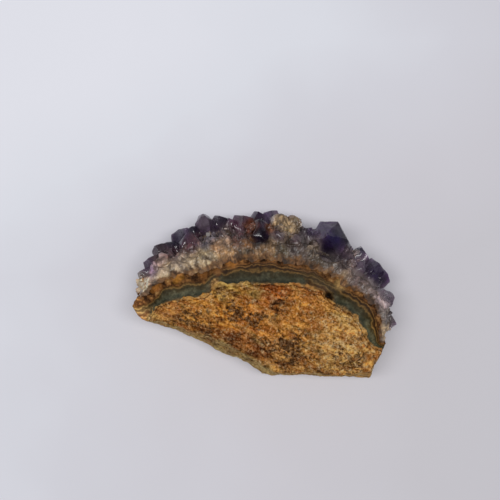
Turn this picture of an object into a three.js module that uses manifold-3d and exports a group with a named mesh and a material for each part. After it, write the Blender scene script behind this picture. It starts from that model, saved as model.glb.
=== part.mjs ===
// A hand-sized piece of amethyst crust, in millimetres, +Z up.
// Weathered basalt carries a band of chalcedony, and quartz grew on the band: milky at its foot, and ending
// in crowded amethyst points. The piece lies on a flat cut, its broken face with the layers looks up, X runs
// along its length, and Y from the basalt towards the points.

import * as THREE from "three";
import { ConvexGeometry } from "three/addons/geometries/ConvexGeometry.js";
import { mergeVertices } from "three/addons/utils/BufferGeometryUtils.js";
import Module from "manifold-3d";

const wasm = await Module();
wasm.setup();

// Driving dimensions
const FACE_HEIGHT = 28; // from the flat cut up to the broken face
const WIDEST_HEIGHT = 13; // where the domed crust stands out furthest
const BULGE_SHARE = 0.25; // of the crust's thickness, how much further out it is there
const MILKY_SHARE = 0.3; // of the crust's thickness, how much is the solid foot under the points
const FOOT_SHARE = 0.15; // of the crust's thickness, how deep in it the points start
const LAYER_GAP = 0.3; // between one layer's solid and the next
const FACE_ROUGHNESS = [0.9, 0.55]; // height of the broken face's broad and narrow humps
const WALL_ROUGHNESS = [0.9, 0.5]; // and of the basalt walls'
const BROAD = 8; // width of a broad hump
const NARROW = 3.4; // and of a narrow one
const SMOOTHER = 0.35; // the chalcedony's share of the basalt's roughness
const EDGE_FALL = 4.5; // how far the broken face drops at the basalt's edge
const EDGE_FALL_WIDTH = 10; // from the edge to where the drop begins
const LIP = 0.5; // how far the basalt stands up where it meets the chalcedony
const LEAN_UP = 4.2; // how far the basalt walls lean in at the broken face
const LEAN_DOWN = 2.2; // and at the cut
const LEAST_BULGE = -0.6; // share of the bulge by which the layers may fall back at the cut and the face
const LIP_WIDTH = 5; // from the border to where the lip has gone
const LIP_HOLLOW = 1.2; // the lip's height over that of the hollow behind it

// Lengths of the facets
const EDGE_STEP = 3; // along the basalt's edge
const SEAM_STEP = 3.4; // along the crust
const LINE_STEP = 2.8; // along the basalt's border with the chalcedony
const RELIEF_STEP = 3.3; // on the broken face
const WALL_HEIGHTS = [-2, 4, 9, WIDEST_HEIGHT, 19, 24, 36];
const BORDER_HEIGHTS = [-8, 2, WIDEST_HEIGHT, 20.5, FACE_HEIGHT, 40];
const CORNER_SHIFT = 0.55; // share of a facet by which its corners are moved about
const OUTSIDE = 70; // beyond everything, for the blocks that cut
const LEFT_END_DROP = 14; // how far a border's line falls outside the piece, at its left end
const RIGHT_END_DROP = 8; // and at its right end

// Lines on the broken face, each a list of [x, y] from left to right
const SEAM = [
  [-38.8, -2.2], [-36.6, -0.6], [-34.0, 1.2], [-30.2, 3.9], [-26.0, 5.4], [-21.5, 5.9], [-17.6, 6.6],
  [-14.0, 8.2], [-9.9, 9.5], [-3.0, 10.3], [4.6, 10.0], [10.6, 9.0], [16.2, 7.0], [21.6, 4.2],
  [27.2, 1.0], [31.0, -1.6], [33.0, -4.6], [33.6, -9.0], [34.0, -13.6],
];
const ROCK_LINE = [
  [-35.4, -10.5], [-33.2, -6.6], [-32.2, -4.2], [-30.6, -3.0], [-28.0, -1.9], [-24.0, -1.0], [-19.0, -0.4],
  [-15.6, 0.3], [-14.6, 2.4], [-12.6, 3.3], [-8.0, 2.7], [-4.6, 3.5], [1.7, 3.4], [7.5, 3.2], [11.5, 2.9],
  [15.5, 1.7], [18.2, -0.8], [20.8, -2.5], [24.4, -4.6], [27.4, -7.8], [29.2, -11.2], [31.8, -15.0],
  [37.0, -16.5],
];
// The basalt's broken edge, from the left tip along the bottom to where the points end on the right
const ROCK_EDGE = [
  [-38.7, -3.3], [-38.3, -5.4], [-36.6, -8.2], [-34.4, -9.1], [-31.6, -9.8], [-28.1, -10.8], [-23.1, -12.1],
  [-18.6, -14.2], [-15.3, -15.7], [-10.9, -17.9], [-7.0, -19.7], [-4.2, -21.6], [-0.9, -23.9],
  [2.5, -25.4], [6.2, -25.1], [10.2, -25.4], [13.0, -24.8], [15.7, -25.9], [19.0, -25.4], [22.4, -25.8],
  [28.5, -25.6], [31.4, -26.1], [33.2, -25.2], [33.1, -23.0], [34.3, -20.6], [35.4, -17.4], [35.8, -14.8],
];
// The middle of the basalt, which its walls lean towards
const SPINE = new THREE.Line3(new THREE.Vector3(-30, -4.5, 0), new THREE.Vector3(29, -12, 0));

// Thickness of the whole crust on the seam: [share of the seam's length, millimetres]
const CRUST = [
  [0, 1.0], [0.034, 2.8], [0.08, 5.3], [0.12, 7.3], [0.17, 9.6], [0.21, 12.6], [0.26, 13.8], [0.31, 14.6],
  [0.39, 13.8], [0.56, 13.2], [0.68, 13.8], [0.73, 11.3], [0.81, 9.7], [0.85, 7.4], [0.89, 5.6],
  [0.96, 4.8], [1, 2.4],
];

// Points along the broken face and on the skyline behind it, from left to right: the tip, the width over two
// flats, the heading of the axis in degrees round from +X, its rise in degrees above level, and the share of
// the width by which the three smaller faces stand back. Only the large point has a length of its own.
const RIM_POINTS = [
  { tip: [-38.9, 1.6, 16], width: 3.0, heading: 160, rise: 20, edge: 0.3 },
  { tip: [-38.2, 4.4, 18], width: 3.0, heading: 150, rise: 30, edge: 0.2 },
  { tip: [-36.3, 7.2, 22], width: 5.4, heading: 140, rise: 48, edge: 0.3 },
  { tip: [-33.8, 10.9, 24], width: 5.6, heading: 125, rise: 50, edge: 0.25 },
  { tip: [-31.9, 14.7, 20], width: 4.8, heading: 120, rise: 45, edge: 0.2 },
  { tip: [-30.2, 12.2, 25], width: 4.4, heading: 112, rise: 30, edge: 0.1 },
  { tip: [-29.0, 15.5, 20], width: 5.4, heading: 105, rise: 45, edge: 0.35 },
  { tip: [-26.4, 11.4, 26.2], width: 4.6, heading: 112, rise: 15, edge: 0.3 },
  { tip: [-25.5, 19.4, 17], width: 6.2, heading: 110, rise: 40, edge: 0.45 },
  { tip: [-21.7, 18.8, 25.2], width: 6.8, heading: 97, rise: 20, edge: 0.15 },
  { tip: [-21.6, 20.4, 17], width: 3.8, heading: 100, rise: 40, edge: 0.3 },
  { tip: [-18.1, 23.7, 19], width: 5.0, heading: 95, rise: 50, edge: 0.1 },
  { tip: [-16.4, 17.6, 26], width: 4.6, heading: 100, rise: 10, edge: 0.3 },
  { tip: [-13.3, 23.4, 19], width: 5.2, heading: 92, rise: 45, edge: 0.4 },
  { tip: [-11.6, 18.2, 26], width: 5.2, heading: 94, rise: 10, edge: 0.2 },
  { tip: [-10.3, 22.8, 20], width: 3.8, heading: 95, rise: 40, edge: 0.2 },
  { tip: [-6.1, 23.5, 21], width: 7.0, heading: 88, rise: 45, edge: 0.3 },
  { tip: [-6.6, 18.4, 26], width: 5.0, heading: 95, rise: 12, edge: 0.35 },
  { tip: [-1.6, 24.8, 16], width: 5.0, heading: 90, rise: 40, edge: 0.5 },
  { tip: [-1.1, 22.3, 25], width: 7.6, heading: 88, rise: 30, edge: 0.1 },
  { tip: [2.6, 25.1, 15], width: 5.2, heading: 88, rise: 45, edge: 0.45 },
  { tip: [4.4, 20.5, 25.6], width: 5.0, heading: 88, rise: 20, edge: 0.15 },
  { tip: [5.2, 23.8, 20], width: 5.0, heading: 85, rise: 35, edge: 0.2 },
  { tip: [9.1, 23.5, 19], width: 5.2, heading: 82, rise: 45, edge: 0.15 },
  { tip: [9.1, 18.2, 26], width: 4.6, heading: 85, rise: 15, edge: 0.3 },
  { tip: [12.7, 19.8, 20], width: 4.2, heading: 75, rise: 40, edge: 0.2 },
  { tip: [14.2, 14.4, 26], width: 4.8, heading: 70, rise: 12, edge: 0.2 },
  { tip: [18.1, 17.4, 28.4], width: 10.4, heading: 140, rise: 75, edge: 0.06, turn: 38, length: 12 },
  { tip: [21.4, 11.4, 25.8], width: 5.2, heading: 66, rise: 15, edge: 0.3 },
  { tip: [25.6, 12.4, 25], width: 4.8, heading: 66, rise: 35, edge: 0.2 },
  { tip: [29.4, 13.8, 20], width: 5.2, heading: 75, rise: 40, edge: 0.4 },
  { tip: [29.3, 10.4, 25], width: 4.6, heading: 58, rise: 25, edge: 0.2 },
  { tip: [34.4, 9.4, 20], width: 6.2, heading: 52, rise: 45, edge: 0.25 },
  { tip: [33.4, 6.2, 25], width: 4.8, heading: 48, rise: 30, edge: 0.3 },
  { tip: [37.3, 6.1, 18], width: 5.0, heading: 35, rise: 40, edge: 0.35 },
  { tip: [35.6, 1.6, 25], width: 4.0, heading: 30, rise: 20, edge: 0.2 },
  { tip: [37.2, -2.3, 25], width: 3.8, heading: 8, rise: 30, edge: 0.2 },
  { tip: [39.1, -1.0, 19], width: 4.8, heading: 12, rise: 35, edge: 0.3 },
  { tip: [38.0, -5.3, 22], width: 3.8, heading: 5, rise: 35, edge: 0.2 },
  { tip: [39.5, -8.8, 19], width: 5.4, heading: -5, rise: 30, edge: 0.3 },
];

// Rows of points that fill the dome between the rim and the cut
const ROW_HEIGHTS = [21.5, 15.5, 9.5, 3.5];
const ROW_SPACING = 5.6; // along the seam, from one point to the next
const ROW_WIDTH = [5, 8.2]; // narrowest and widest point
const ROW_LENGTH = [0.44, 0.6]; // least and most length, as a share of the crust's thickness
const ROW_SCATTER = 2.2; // how much the heights in a row differ
const ROW_ENDS = [0.05, 0.985]; // shares of the seam's length between which the rows lie
const FULL_SIZE = 9; // thickness of the crust from which points grow to their full width
const ROW_LEAN = [0.5, 0.35]; // most turn along the seam and up or down, in radians
const CLEAR_OF_RIM = 0.34; // share of two widths at which a row point gives way to a rim point
const PRISM_SCATTER = 0.14; // how much a point's prism faces differ in their distance from its axis
const PYRAMID_SCATTER = 0.08; // and, as a share of the width, its pyramid faces in theirs from its tip
const PYRAMID_AXIAL = 0.618; // a rhombohedral face's normal, along the point's axis
const PYRAMID_RADIAL = 0.786; // and across it

// The same numbers each time, from 0 to 1
function randomStream(seed) {
  let state = seed;
  return () => {
    state = (Math.imul(state, 1664525) + 1013904223) >>> 0;
    return state / 4294967296;
  };
}

const between = ([low, high], share) => low + (high - low) * share;

// Smooth noise from -1 to 1 with features one unit wide
function latticeValue(i, j, k) {
  let h = Math.imul(i, 374761393) ^ Math.imul(j, 668265263) ^ Math.imul(k, 1440662683);
  h = Math.imul(h ^ (h >>> 13), 1274126177);
  return ((h ^ (h >>> 16)) >>> 0) / 2147483648 - 1;
}

function noise(x, y, z) {
  const cell = [x, y, z].map(Math.floor);
  const [u, v, w] = [x, y, z].map((value, i) => THREE.MathUtils.smoothstep(value - cell[i], 0, 1));
  const corner = (a, b, c) => latticeValue(cell[0] + a, cell[1] + b, cell[2] + c);
  const alongX = (b, c) => THREE.MathUtils.lerp(corner(0, b, c), corner(1, b, c), u);
  const alongY = (c) => THREE.MathUtils.lerp(alongX(0, c), alongX(1, c), v);
  return THREE.MathUtils.lerp(alongY(0), alongY(1), w);
}

const flat = ([x, y]) => new THREE.Vector2(x, y);
const lineOf = (places) => new THREE.SplineCurve(places.map(flat));
const seam = lineOf(SEAM);
const rockLine = lineOf(ROCK_LINE);
const rockEdge = lineOf(ROCK_EDGE);
const seamLength = seam.getLength();
const piecesOf = (line, step) => Math.round(line.getLength() / step);

// A solid from its corners, each [x, y, z], and its faces, each three corner numbers
function solidOf(corners, faces) {
  return new wasm.Manifold(
    new wasm.Mesh({
      numProp: 3,
      vertProperties: Float32Array.from(corners.flat()),
      triVerts: Uint32Array.from(faces.flat()),
    }),
  );
}

// Joins rings of equal length, one at each height, into a closed solid
function loft(heights, ringAt) {
  const rings = heights.map(ringAt);
  const count = rings[0].length;
  const top = (heights.length - 1) * count;
  const faces = [];
  for (let k = 0; k < heights.length - 1; k++)
    for (let i = 0; i < count; i++) {
      const a = k * count + i;
      const b = k * count + ((i + 1) % count);
      faces.push([a, b, b + count], [a, b + count, a + count]);
    }
  for (const [a, b, c] of THREE.ShapeUtils.triangulateShape(rings[0], [])) faces.push([c, b, a]);
  for (const face of THREE.ShapeUtils.triangulateShape(rings.at(-1), [])) faces.push(face.map((a) => top + a));
  const corners = rings.flatMap((ring, k) => ring.map(({ x, y }) => [x, y, heights[k]]));
  return solidOf(corners, faces);
}

// Outward across the seam at a share of its length
function outward(share) {
  const along = seam.getTangentAt(THREE.MathUtils.clamp(share, 0.004, 0.996));
  return new THREE.Vector2(-along.y, along.x);
}

function crustThickness(share) {
  const after = Math.max(1, CRUST.findIndex(([place]) => place >= share));
  const [[a, low], [b, high]] = [CRUST[after - 1], CRUST[after]];
  return THREE.MathUtils.lerp(low, high, THREE.MathUtils.clamp((share - a) / (b - a), 0, 1));
}

// How much further out every layer lies at a height than on the broken face
function bulge(share, height) {
  const offset = (height - WIDEST_HEIGHT) / (FACE_HEIGHT - WIDEST_HEIGHT);
  return BULGE_SHARE * crustThickness(share) * Math.max(LEAST_BULGE, 1 - offset * offset);
}

// The way up along the dome, in radians above level, which points grow square to
function domeRise(share, height) {
  const half = FACE_HEIGHT - WIDEST_HEIGHT;
  return Math.atan((2 * BULGE_SHARE * crustThickness(share) * (height - WIDEST_HEIGHT)) / (half * half));
}

// The seam's surface at a height, moved out by a distance
function seamPlace(share, height, out) {
  return seam.getPointAt(share).addScaledVector(outward(share), bulge(share, height) + out);
}

const SEAM_PLACES = seam.getSpacedPoints(400);

function nearestShare(x, y) {
  const distances = SEAM_PLACES.map((p) => p.distanceToSquared({ x, y }));
  return distances.indexOf(Math.min(...distances)) / (SEAM_PLACES.length - 1);
}

// How far a place lies out from the seam's surface, and beside which share of its length
function depthAt({ x, y, z }) {
  const share = nearestShare(x, y);
  const offset = new THREE.Vector2(x, y).sub(seam.getPointAt(share)).dot(outward(share));
  return { share, out: offset - bulge(share, z) };
}

// Everything on the basalt's side of a border that bulges as the seam does, moved out by grow
function insideOf(border, step, grow) {
  const corners = [[-OUTSIDE, -OUTSIDE], [OUTSIDE, -OUTSIDE]].map(flat);
  return loft(BORDER_HEIGHTS, (height) => {
    const places = border.getSpacedPoints(piecesOf(border, step)).map((p) => {
      const share = nearestShare(p.x, p.y);
      return p.addScaledVector(outward(share), bulge(share, height) + grow);
    });
    const leftEnd = new THREE.Vector2(-OUTSIDE, places[0].y - LEFT_END_DROP);
    const rightEnd = new THREE.Vector2(OUTSIDE, places.at(-1).y - RIGHT_END_DROP);
    return [...corners, rightEnd, ...places.toReversed(), leftEnd];
  });
}

// Two sizes of hump over each other
function roughness([broad, narrow], x, y, z) {
  return broad * noise(x / BROAD, y / BROAD, z / BROAD) + narrow * noise(x / NARROW, y / NARROW, z / NARROW);
}

// A place on the basalt's edge, leaning in towards the middle above and below, and roughened
function wallPlace(place, height) {
  const middle = new THREE.Vector3();
  SPINE.closestPointToPoint(new THREE.Vector3(place.x, place.y, 0), true, middle);
  const inward = new THREE.Vector2(middle.x - place.x, middle.y - place.y).normalize();
  const above = Math.max(0, height - WIDEST_HEIGHT) / (FACE_HEIGHT - WIDEST_HEIGHT);
  const below = Math.max(0, WIDEST_HEIGHT - height) / WIDEST_HEIGHT;
  const lean = LEAN_UP * above ** 1.5 + LEAN_DOWN * below ** 2;
  return place.clone().addScaledVector(inward, lean + roughness(WALL_ROUGHNESS, place.x, place.y, height));
}

// The whole piece's walls: basalt round three sides, and the crust's milky foot along the dome
function wallBlock() {
  const edgePlaces = rockEdge.getSpacedPoints(piecesOf(rockEdge, EDGE_STEP));
  const crustPieces = piecesOf(seam, SEAM_STEP);
  const easeIn = 3; // facets over which the wall's lean begins at either end
  return loft(WALL_HEIGHTS, (height) => {
    const wall = edgePlaces.map((p, i) => {
      const ends = Math.min(1, i / easeIn, (edgePlaces.length - 1 - i) / easeIn);
      return p.clone().lerp(wallPlace(p, height), ends);
    });
    const dome = [];
    for (let i = crustPieces - 1; i > 0; i--) {
      const share = i / crustPieces;
      dome.push(seamPlace(share, height, MILKY_SHARE * crustThickness(share)));
    }
    return [...wall, ...dome];
  });
}

// Height of the broken face: the basalt is rough and falls away to its edge, the chalcedony is smoother
const edgePlaces = rockEdge.getSpacedPoints(120);
const borderPlaces = rockLine.getSpacedPoints(160);
const nearest = (places, place) => Math.min(...places.map((p) => p.distanceTo(place)));

function faceHeight(x, y) {
  const place = new THREE.Vector2(x, y);
  const inBasalt = borderPlaces.some((p) => Math.abs(p.x - x) < 1.5 && p.y > y);
  const fall = EDGE_FALL * (1 - THREE.MathUtils.smoothstep(nearest(edgePlaces, place), 0, EDGE_FALL_WIDTH));
  const lip = LIP * (1 - LIP_HOLLOW * THREE.MathUtils.smoothstep(nearest(borderPlaces, place), 0, LIP_WIDTH));
  const humps = roughness(FACE_ROUGHNESS, x, y, FACE_HEIGHT);
  return FACE_HEIGHT - fall + (inBasalt ? humps + lip : SMOOTHER * humps);
}

// A closed block from well under the cut to the broken face, with its facets' corners moved about
function faceBlock() {
  const [halfLength, halfDepth] = [46, 32];
  const across = Math.round((2 * halfLength) / RELIEF_STEP);
  const deep = Math.round((2 * halfDepth) / RELIEF_STEP);
  const draw = randomStream(7);
  const moved = (i, count, half) => half * ((2 * (i + CORNER_SHIFT * (draw() - 0.5))) / count - 1);
  const corners = [];
  for (let j = 0; j <= deep; j++)
    for (let i = 0; i <= across; i++) {
      const [x, y] = [moved(i, across, halfLength), moved(j, deep, halfDepth)];
      corners.push([x, y, faceHeight(x, y)]);
    }
  const at = (i, j) => j * (across + 1) + i;
  const faces = [];
  for (let j = 0; j < deep; j++)
    for (let i = 0; i < across; i++) {
      const [a, b, c, d] = [at(i, j), at(i + 1, j), at(i + 1, j + 1), at(i, j + 1)];
      if ((i + j) % 2) faces.push([a, b, c], [a, c, d]);
      else faces.push([a, b, d], [b, c, d]);
    }
  const rim = [];
  for (let i = 0; i < across; i++) rim.push(at(i, 0));
  for (let j = 0; j < deep; j++) rim.push(at(across, j));
  for (let i = across; i > 0; i--) rim.push(at(i, deep));
  for (let j = deep; j > 0; j--) rim.push(at(0, j));
  // A skirt falls from the rim, and its lower ends meet one corner under the middle
  const skirt = corners.length;
  const middle = skirt + rim.length;
  const spread = 1.6;
  for (const r of rim) corners.push([spread * corners[r][0], spread * corners[r][1], BORDER_HEIGHTS[0]]);
  corners.push([0, 0, BORDER_HEIGHTS[0]]);
  rim.forEach((r, n) => {
    const next = (n + 1) % rim.length;
    faces.push([r, skirt + n, skirt + next], [r, skirt + next, rim[next]], [skirt + n, middle, skirt + next]);
  });
  return solidOf(corners, faces);
}

// A quartz point stands on its foot along +Z: six prism faces under three large and three smaller
// rhombohedral faces. Each face is a plane, [normal, distance from the foot].
function crystalPlanes({ length, width, edge, draw }) {
  const planes = [[new THREE.Vector3(0, 0, -1), 0]];
  for (let k = 0; k < 6; k++) {
    const angle = (k * Math.PI) / 3;
    const side = new THREE.Vector3(Math.cos(angle), Math.sin(angle), 0);
    const slope = side.clone().multiplyScalar(PYRAMID_RADIAL).setZ(PYRAMID_AXIAL);
    const back = (k % 2) * edge * width + PYRAMID_SCATTER * width * draw();
    const out = (width / 2) * (1 + PRISM_SCATTER * (draw() - 0.5));
    planes.push([side, out], [slope, PYRAMID_AXIAL * (length + back)]);
  }
  return planes;
}

// Where three planes meet, or null if they don't
function meeting([n1, d1], [n2, d2], [n3, d3]) {
  const cross23 = n2.clone().cross(n3);
  const size = n1.dot(cross23);
  if (Math.abs(size) < 1e-3) return null;
  return cross23
    .multiplyScalar(d1)
    .addScaledVector(n3.clone().cross(n1), d2)
    .addScaledVector(n1.clone().cross(n2), d3)
    .divideScalar(size);
}

// The corners of the solid that lies behind every plane
function cornersBehind(planes) {
  const corners = [];
  for (let a = 0; a < planes.length; a++)
    for (let b = a + 1; b < planes.length; b++)
      for (let c = b + 1; c < planes.length; c++) {
        const corner = meeting(planes[a], planes[b], planes[c]);
        if (!corner || planes.some(([normal, distance]) => normal.dot(corner) > distance + 1e-6)) continue;
        if (corners.every((other) => other.distanceTo(corner) > 0.05)) corners.push(corner);
      }
  return corners;
}

function crystal({ foot, tip, width, edge, turn, draw }) {
  const axis = tip.clone().sub(foot);
  const planes = crystalPlanes({ length: axis.length(), width, edge, draw });
  axis.normalize();
  const level = new THREE.Vector3(-axis.y, axis.x, 0).normalize();
  const placed = new THREE.Matrix4()
    .makeTranslation(foot)
    .multiply(new THREE.Matrix4().makeBasis(level, axis.clone().cross(level), axis))
    .multiply(new THREE.Matrix4().makeRotationZ(turn));
  const hull = new ConvexGeometry(cornersBehind(planes).map((corner) => corner.applyMatrix4(placed)));
  hull.deleteAttribute("normal");
  hull.deleteAttribute("uv");
  const { attributes, index } = mergeVertices(hull, 1e-4);
  const triVerts = new Uint32Array(index.array);
  return new wasm.Manifold(new wasm.Mesh({ numProp: 3, vertProperties: attributes.position.array, triVerts }));
}

// From the tip back along the axis, into the milky foot
function footOf(tip, way) {
  const foot = tip.clone();
  const step = 0.3;
  for (let back = 0; back < 2 * FACE_HEIGHT; back += step) {
    const { share, out } = depthAt(foot);
    if (out < FOOT_SHARE * crustThickness(share)) break;
    foot.addScaledVector(way, -step);
  }
  return foot;
}

// Heading round from +X and rise above level, in radians, as a direction
function wayOf(heading, rise) {
  const level = Math.cos(rise);
  return new THREE.Vector3(Math.cos(heading) * level, Math.sin(heading) * level, Math.sin(rise));
}

function rimPoints(draw) {
  const { degToRad } = THREE.MathUtils;
  return RIM_POINTS.map(({ tip: place, width, heading, rise, edge, turn = 360 * draw(), length }) => {
    const tip = new THREE.Vector3(...place);
    const way = wayOf(degToRad(heading), degToRad(rise));
    const foot = length ? tip.clone().addScaledVector(way, -length) : footOf(tip, way);
    return { foot, tip, width, edge, turn: degToRad(turn), draw };
  });
}

// A point somewhere in a row: where its tip is, and how it leans
function rowPoint(share, rowHeight, draw) {
  const height = rowHeight + ROW_SCATTER * (draw() - 0.5);
  const length = between(ROW_LENGTH, draw());
  const [turned, lifted] = ROW_LEAN.map((most) => most * (draw() - 0.5));
  const wide = between(ROW_WIDTH, draw());
  const edge = 0.5 * draw();
  const turn = Math.PI * draw();
  const thickness = crustThickness(share);
  const way = wayOf(outward(share).angle() + turned, domeRise(share, height) + lifted);
  const start = seamPlace(share, height, FOOT_SHARE * thickness);
  const tip = new THREE.Vector3(start.x, start.y, height).addScaledVector(way, thickness * length);
  return { foot: footOf(tip, way), tip, width: wide * Math.min(1, thickness / FULL_SIZE), edge, turn, draw };
}

function rowPoints(rim, draw) {
  const count = Math.floor(seamLength / ROW_SPACING);
  const points = [];
  ROW_HEIGHTS.forEach((rowHeight, row) => {
    for (let i = 0; i <= count; i++) {
      const share = (i + 0.5 * (row % 2) + 0.5 * (draw() - 0.5)) / count;
      if (share < ROW_ENDS[0] || share > ROW_ENDS[1]) continue;
      const point = rowPoint(share, rowHeight, draw);
      const near = (other) => other.tip.distanceTo(point.tip) < CLEAR_OF_RIM * (other.width + point.width);
      if (!rim.some(near)) points.push(point);
    }
  });
  return points;
}

// The layers
const corners = [[-OUTSIDE, -OUTSIDE], [OUTSIDE, -OUTSIDE], [OUTSIDE, OUTSIDE], [-OUTSIDE, OUTSIDE]];
const aboveCut = loft([0, OUTSIDE], () => corners.map(flat));
const body = wallBlock().intersect(faceBlock()).intersect(aboveCut);
const rock = body.intersect(insideOf(rockLine, LINE_STEP, 0));
const band = body.intersect(insideOf(seam, SEAM_STEP, 0)).subtract(insideOf(rockLine, LINE_STEP, LAYER_GAP));

const rim = rimPoints(randomStream(11));
const points = [...rim, ...rowPoints(rim, randomStream(23))];
const crust = wasm.Manifold.union([body, ...points.map(crystal)])
  .subtract(insideOf(seam, SEAM_STEP, LAYER_GAP))
  .intersect(aboveCut);

// The largest piece of a solid as a mesh, without the crumbs that the cuts leave
function meshOf(name, solid, colour, finish) {
  const largest = solid.decompose().sort((a, b) => b.volume() - a.volume())[0];
  const { vertProperties, triVerts } = largest.getMesh();
  const geometry = new THREE.BufferGeometry()
    .setAttribute("position", new THREE.BufferAttribute(vertProperties, 3))
    .setIndex(new THREE.BufferAttribute(triVerts, 1));
  geometry.computeVertexNormals();
  const material = new THREE.MeshStandardMaterial({ color: colour, roughness: finish, flatShading: true });
  const mesh = new THREE.Mesh(geometry, material);
  mesh.name = name;
  return mesh;
}

const specimen = new THREE.Group();
specimen.add(
  meshOf("host_rock", rock, 0x93683b, 0.95),
  meshOf("agate_band", band, 0x4a4434, 0.4),
  meshOf("amethyst_crust", crust, 0x5a4460, 0.15),
);

export default specimen;
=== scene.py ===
# A hand-sized piece of amethyst crust, in metres, +Z up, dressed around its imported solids.
# It lies on paper on a flat cut, and its broken face, with the layers in it, looks up at the camera.

import functools
import math
import random

import bmesh
import bpy
import numpy as np
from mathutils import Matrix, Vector, noise
from mathutils.bvhtree import BVHTree


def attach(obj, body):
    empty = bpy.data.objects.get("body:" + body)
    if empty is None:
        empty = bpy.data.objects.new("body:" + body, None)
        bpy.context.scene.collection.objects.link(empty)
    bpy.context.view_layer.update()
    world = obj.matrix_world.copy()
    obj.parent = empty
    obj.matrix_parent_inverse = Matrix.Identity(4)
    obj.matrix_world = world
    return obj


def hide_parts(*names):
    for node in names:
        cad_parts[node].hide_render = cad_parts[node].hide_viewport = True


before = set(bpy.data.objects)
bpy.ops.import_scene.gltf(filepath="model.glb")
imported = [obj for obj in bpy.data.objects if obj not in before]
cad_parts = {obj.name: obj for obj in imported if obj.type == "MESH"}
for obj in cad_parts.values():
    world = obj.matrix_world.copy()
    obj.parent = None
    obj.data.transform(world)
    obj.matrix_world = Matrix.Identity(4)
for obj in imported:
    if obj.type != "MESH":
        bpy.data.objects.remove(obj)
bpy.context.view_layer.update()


# Host rock
# The weathered basalt that the crust grew on: ochre and rust-brown, granular where grains have come loose,
# and stained black-brown by manganese. It is broken on top and round its sides, and cut flat underneath.

MM = 0.001
ROCK_MESH = 0.32  # millimetres between the points of its mesh
# Width and height in millimetres of a hump left where the piece broke, and of a knob, a grain and a pit
HUMP, HUMP_HEIGHT = 4.5, 0.22
ROCK_KNOB, ROCK_KNOB_HEIGHT = 1.7, 0.24
ROCK_GRAIN, ROCK_GRAIN_HEIGHT = 0.8, 0.16
ROCK_PIT, ROCK_PIT_DEPTH = 2.6, 0.3
PIT_WALL = (0.22, 0.5)  # heights of the noise between which the wall of a pit stands
LAP = 0.5  # how far each layer reaches into the next, to close the gap between their solids
LAP_FROM, LAP_TO = 1.9, 0.35  # how far from the next layer that starts, and where it is full
BORDER_WAVE = 2.6  # length of the waves in the border between two layers
BASALT_BULGE = 2.0  # how much the basalt and the band reach into each other there, in LAPs
CUT_HEIGHT = 0.35  # below this the flat cut keeps the surface even
LAVA_FLOW = math.radians(-22)  # the way that the lava flowed, round from +X
PATCH_WAVE = 3.5  # length of the waves in the outline of a patch of colour
STAIN_WAVE = 3.0  # and in that of a stain
STAIN_EDGE = (0.3, 1.2)  # where a stain starts to fade and where it ends, in radii
PALE_EDGE = (8, 26)  # millimetres towards the lower right between which pale grains set in
# Colours that the weather has left on the broken face: x, y and radius in millimetres, and the colour
ROCK_TONES = [
    (-33, -7, 2.5, "#99784e"), (-28, -6, 4, "#b07e48"), (-19, -6, 5, "#b4803e"), (-10, -3, 5, "#b88038"),
    (-4, -6, 5, "#ac7030"), (3, 0.5, 3, "#8e4a1c"), (-10.5, 1.5, 3, "#908452"), (-3.5, 1.2, 2, "#968250"),
    (11, -3, 5, "#a87236"), (20, -6, 5, "#aa7d43"), (22, -14, 7, "#b08b58"), (10, -12, 6, "#a06e33"),
    (8, -20, 5, "#a87e4a"), (22, -22, 5, "#b69058"), (32, -17, 4, "#ac7c42"), (-24, -8.4, 2.4, "#6a3a1a"),
    (-17, -11, 2.7, "#683818"), (-10, -13.4, 2.8, "#6a3c1c"), (-3, -16, 2.8, "#683a1a"),
    (-27, -10.6, 1.9, "#a3905c"), (-20, -13, 2.2, "#a3905e"), (-13, -16.2, 2.4, "#9d8a54"),
    (-6, -20, 2.4, "#a08c58"), (0, -22.6, 2, "#a38e5a"), (31, -9, 2.6, "#9a6c38"), (13, 1.8, 2, "#8f5a28"),
]
ROCK_COLOUR = "#96683a"  # where none of these is
# Manganese stains: x, y and radius in millimetres, and strength from 0 to 1
STAINS = [
    (-12.5, 1, 3, 0.5), (-8, -4.8, 4, 0.9), (-3, -7, 4.2, 0.9), (4, -2.5, 3.4, 0.7), (8, -15, 5.5, 0.85),
    (1, -15.5, 4, 0.7), (13.5, -17, 4, 0.45), (22.5, -18, 4, 0.45), (27, -20, 3.5, 0.7), (17, -22, 4, 0.4),
    (-22, -6, 4.5, 0.6), (-17, -9.5, 4, 0.65), (-9, -12.5, 3.5, 0.6), (-27, -7.5, 3, 0.5),
    (6, -21.5, 3.5, 0.5), (-13, -6, 3, 0.5),
]
HOLE = (19.0, -0.1, 27.5)  # a small hole between the basalt and the band
HOLE_WIDTH = 2.6
HOLE_DEPTH = 2.6
HOLE_RIM, HOLE_RIM_WAVE = 0.4, 0.8  # how far its rim strays, and the length of the waves in it


def linear(code):
    """An sRGB colour such as #93683b as the linear colour that a shader takes."""
    channels = [int(code[i : i + 2], 16) / 255 for i in (1, 3, 5)]
    return (*(c / 12.92 if c <= 0.04045 else ((c + 0.055) / 1.055) ** 2.4 for c in channels), 1.0)


def channels_of(code):
    """An sRGB colour as an array of its three linear channels."""
    return np.array(linear(code)[:3])


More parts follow.
